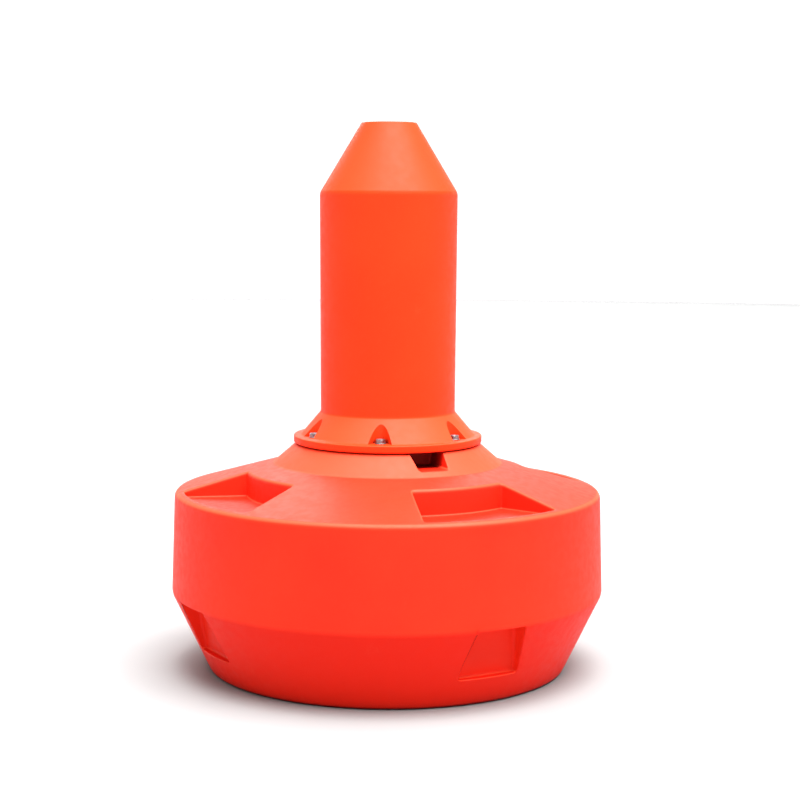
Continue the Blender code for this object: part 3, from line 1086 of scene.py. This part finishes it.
def polyethylene(name, colours):
    material, nodes, links, shader = start_material(name)
    drift = spread(nodes, links, noise(nodes, links, DRIFT_SCALE, 3.0), 0.35, 0.65, 0.0, 1.0)
    body = blend(nodes, links, drift, colours["deep"], colours["body"])
    # Painted light on upward slopes and painted shade on floors and undersides.
    body = paint_light_and_shade(nodes, links, body, colours)
    speckle = spread(nodes, links, noise(nodes, links, SPECKLE_SCALE, 1.0), 0.60, 0.78, 0.0, 0.25)
    body = blend(nodes, links, speckle, body, colours["pale"])
    streaks = noise(nodes, links, STREAK_SCALE, 4.0, (1.0, 1.0, 0.4))
    scuffs = spread(nodes, links, streaks, 0.66, 0.82, 0.0, 0.16)
    body = blend(nodes, links, scuffs, body, colours["pale"])
    # Painted shade in the recesses.
    body = paint_recess_shade(nodes, links, body)
    links.new(body, shader.inputs["Base Color"])
    patches = noise(nodes, links, ROUGHNESS_SCALE, 5.0)
    rough = spread(nodes, links, patches, 0.3, 0.7, SKIN_ROUGHNESS - 0.05, SKIN_ROUGHNESS + 0.06)
    links.new(rough, shader.inputs["Roughness"])
    shader.inputs["Specular IOR Level"].default_value = SKIN_SPECULAR
    ripple = bump(nodes, links, noise(nodes, links, RIPPLE_SCALE, 1.0), 0.10, RIPPLE_DEPTH)
    peel = bump(nodes, links, noise(nodes, links, PEEL_SCALE, 2.0), 0.22, PEEL_DEPTH, ripple)
    links.new(peel, shader.inputs["Normal"])
    return material


# In each table the lighter slope colour is painted light and the deeper floor and underside colour is
# painted shade.
hull_finish = polyethylene("hull polyethylene", {
    "body": (0.90, 0.028, 0.008), "deep": (0.86, 0.023, 0.007), "painted_shade": (0.88, 0.014, 0.003),
    "pale": (0.93, 0.07, 0.030), "painted_light": (0.93, 0.066, 0.026),
})
tower_finish = polyethylene("tower polyethylene", {
    "body": (0.92, 0.048, 0.006), "deep": (0.89, 0.042, 0.005), "painted_shade": (0.90, 0.040, 0.005),
    "pale": (0.94, 0.11, 0.040), "painted_light": (0.94, 0.062, 0.016),
})
print("polyethylene:", hull_finish.name, "and", tower_finish.name)

# %% [markdown]
# ## Galvanised steel
# Hot-dip zinc freezes in patches of crystal called spangle, each with its own grey. A Voronoi
# pattern gives the patches, and they change the roughness as well as the colour.

# %% Zinc
SPANGLE_SCALE = 130.0
ZINC_LIGHT = (0.30, 0.31, 0.32)
ZINC_DARK = (0.17, 0.18, 0.19)
ZINC_DULL = (0.17, 0.17, 0.18)


def galvanised(name):
    material, nodes, links, shader = start_material(name)
    place = nodes.new("ShaderNodeTexCoord")
    crystals = nodes.new("ShaderNodeTexVoronoi")
    crystals.inputs["Scale"].default_value = SPANGLE_SCALE
    links.new(place.outputs["Object"], crystals.inputs["Vector"])
    grey = nodes.new("ShaderNodeRGBToBW")
    links.new(crystals.outputs["Color"], grey.inputs["Color"])
    zinc = blend(nodes, links, grey.outputs["Val"], ZINC_DARK, ZINC_LIGHT)
    dull = spread(nodes, links, noise(nodes, links, 60.0, 4.0), 0.45, 0.75, 0.0, 0.6)
    zinc = blend(nodes, links, dull, zinc, ZINC_DULL)
    links.new(zinc, shader.inputs["Base Color"])
    shader.inputs["Metallic"].default_value = 0.9
    rough = spread(nodes, links, grey.outputs["Val"], 0.0, 1.0, 0.26, 0.46)
    links.new(rough, shader.inputs["Roughness"])
    grain = bump(nodes, links, noise(nodes, links, 350.0, 3.0), 0.25, 0.0003)
    links.new(grain, shader.inputs["Normal"])
    return material


steel_finish = galvanised("galvanised steel")
print("steel:", steel_finish.name, "with", SPANGLE_SCALE, "crystals to the metre")

# %% [markdown]
# ## Black plastic
# The plugs are moulded in black, and weather to a dusty dark grey. The grain is finer than on
# the big mouldings because a plug's mould is machined.

# %% Plug plastic
PLASTIC_BLACK = (0.022, 0.022, 0.024)
PLASTIC_DUSTY = (0.085, 0.080, 0.075)


def plug_plastic(name):
    material, nodes, links, shader = start_material(name)
    dust = spread(nodes, links, noise(nodes, links, 90.0, 4.0), 0.4, 0.75, 0.0, 0.5)
    body = blend(nodes, links, dust, PLASTIC_BLACK, PLASTIC_DUSTY)
    links.new(body, shader.inputs["Base Color"])
    links.new(spread(nodes, links, dust, 0.0, 0.5, 0.38, 0.62), shader.inputs["Roughness"])
    grain = bump(nodes, links, noise(nodes, links, 900.0, 1.0), 0.25, 0.0002)
    links.new(grain, shader.inputs["Normal"])
    return material


FINISHES = {
    "hull_polyethylene": hull_finish,
    "tower_polyethylene": tower_finish,
    "galvanised_steel": steel_finish,
    "plug_plastic": plug_plastic("plug plastic"),
}
for piece, slot in finish_of.items():
    piece.data.materials.clear()
    piece.data.materials.append(FINISHES[slot])
print("finishes:", sorted(FINISHES))

# %% [markdown]
# ## Camera and light
# The buoy is seen as by someone standing six metres away. A long lens keeps its sides nearly
# parallel, and from 1.6 m up it looks slightly down, so that the deck shows as a thin ellipse.

# %% Camera
CAMERA_PLACE = (0.0, -6.227, 1.606)
CAMERA_PITCH = 0.1082
CAMERA_ROLL = 0.0047
CAMERA_LENS = 81.0
CAMERA_SHIFT = 0.0152

camera_data = bpy.data.cameras.new("camera")
camera_data.lens = CAMERA_LENS
camera_data.sensor_width = 36.0
camera_data.shift_x = CAMERA_SHIFT
camera = bpy.data.objects.new("camera", camera_data)
bpy.context.scene.collection.objects.link(camera)
turned_down = Matrix.Rotation(math.pi / 2 - CAMERA_PITCH, 4, "X") @ Matrix.Rotation(CAMERA_ROLL, 4, "Z")
camera.matrix_world = Matrix.Translation(CAMERA_PLACE) @ turned_down
bpy.context.scene.camera = camera
print("camera:", CAMERA_PLACE, "lens:", CAMERA_LENS, "mm")

# %% [markdown]
# The studio is a level floor of grey paper under strong light from above, which makes it look
# nearly white while it throws little red light back up. A low lit wall runs all round it, a
# long way off, so that every view ends in white.

# %% Floor and wall
STUDIO_RADIUS = 25.0
STUDIO_SIDES = 96
WALL_HEIGHT = 9.0
WALL_INSET = 0.5
WALL_FOOT = -0.5
PAPER_GREY = 0.285
PAPER_DRIFT = 0.01
bpy.ops.mesh.primitive_circle_add(
    vertices=STUDIO_SIDES, radius=STUDIO_RADIUS, fill_type="NGON", location=(0, 0, 0)
)
studio_floor = bpy.context.object
studio_floor.name = "studio_floor"
bpy.ops.mesh.primitive_circle_add(
    vertices=STUDIO_SIDES, radius=STUDIO_RADIUS - WALL_INSET, fill_type="NOTHING",
    location=(0, 0, WALL_FOOT),
)
bpy.ops.object.transform_apply(location=True)
studio_wall = bpy.context.object
studio_wall.name = "studio_wall"
start_edit(studio_wall, "EDGE")
bpy.ops.mesh.select_all(action="SELECT")
extrude_up(WALL_HEIGHT)
bpy.ops.object.mode_set(mode="OBJECT")
print("studio:", 2 * STUDIO_RADIUS, "m across")

# %% [markdown]
# The paper varies very slightly in grey. The wall is a pale emitter, like a lit sheet.

# %% Studio finishes
paper_material, nodes, links, paper_shader = start_material("studio paper")
paper_grain = spread(nodes, links, noise(nodes, links, 1.5, 2.0), 0.3, 0.7, 0.0, 1.0)
paper_colours = (PAPER_GREY,) * 3, (PAPER_GREY + PAPER_DRIFT,) * 3
links.new(blend(nodes, links, paper_grain, *paper_colours), paper_shader.inputs["Base Color"])
paper_shader.inputs["Roughness"].default_value = 0.9
paper_shader.inputs["Specular IOR Level"].default_value = 0.1
studio_floor.data.materials.append(paper_material)
wall_material, nodes, links, wall_shader = start_material("lit wall")
wall_shader.inputs["Base Color"].default_value = (0.1, 0.1, 0.1, 1.0)
wall_shader.inputs["Emission Color"].default_value = (1.0, 1.0, 1.0, 1.0)
wall_shader.inputs["Emission Strength"].default_value = 1.0
studio_wall.data.materials.append(wall_material)

# %% [markdown]
# The main light is a wide soft one from high on the right, a little in front. A second comes
# from straight above, so the deck and the neck are brighter than the upright sides. A box
# behind puts a pale sheen on the deck, which is seen at a flat angle.

# %% Soft lights
def aim_light(name, kind, place, aim, power):
    data = bpy.data.lights.new(name, kind)
    data.energy = power
    lamp = bpy.data.objects.new(name, data)
    bpy.context.scene.collection.objects.link(lamp)
    direction = Vector(aim) - Vector(place)
    turned = direction.to_track_quat("-Z", "Y").to_matrix().to_4x4()
    lamp.matrix_world = Matrix.Translation(place) @ turned
    return data


def soft_box(name, place, aim, width, height, power):
    data = aim_light(name, "AREA", place, aim, power)
    data.shape = "RECTANGLE"
    data.size, data.size_y = width, height


FOOT = (0.0, 0.0, 0.0)
key = aim_light("key", "SUN", (1.5, -1.2, 6.4), FOOT, 7.0)
key.angle = math.radians(50)
overhead = aim_light("overhead", "SUN", (0.0, -0.4, 6.4), FOOT, 4.3)
overhead.angle = math.radians(60)
soft_box("back box", (-0.5, 5.0, 4.4), (0.0, 0.0, 0.6), 5.0, 2.5, 280)

# %% [markdown]
# A dim even sky fills the shadows. The Standard view transform keeps the reds as they are.

# %% Sky and view
world = bpy.data.worlds.new("soft sky")
world.use_nodes = True
world.node_tree.nodes["Background"].inputs["Color"].default_value = (1.0, 1.0, 1.0, 1.0)
world.node_tree.nodes["Background"].inputs["Strength"].default_value = 0.30
bpy.context.scene.world = world
bpy.context.scene.view_settings.view_transform = "Standard"
print("lights:", [item.name for item in bpy.data.lights])
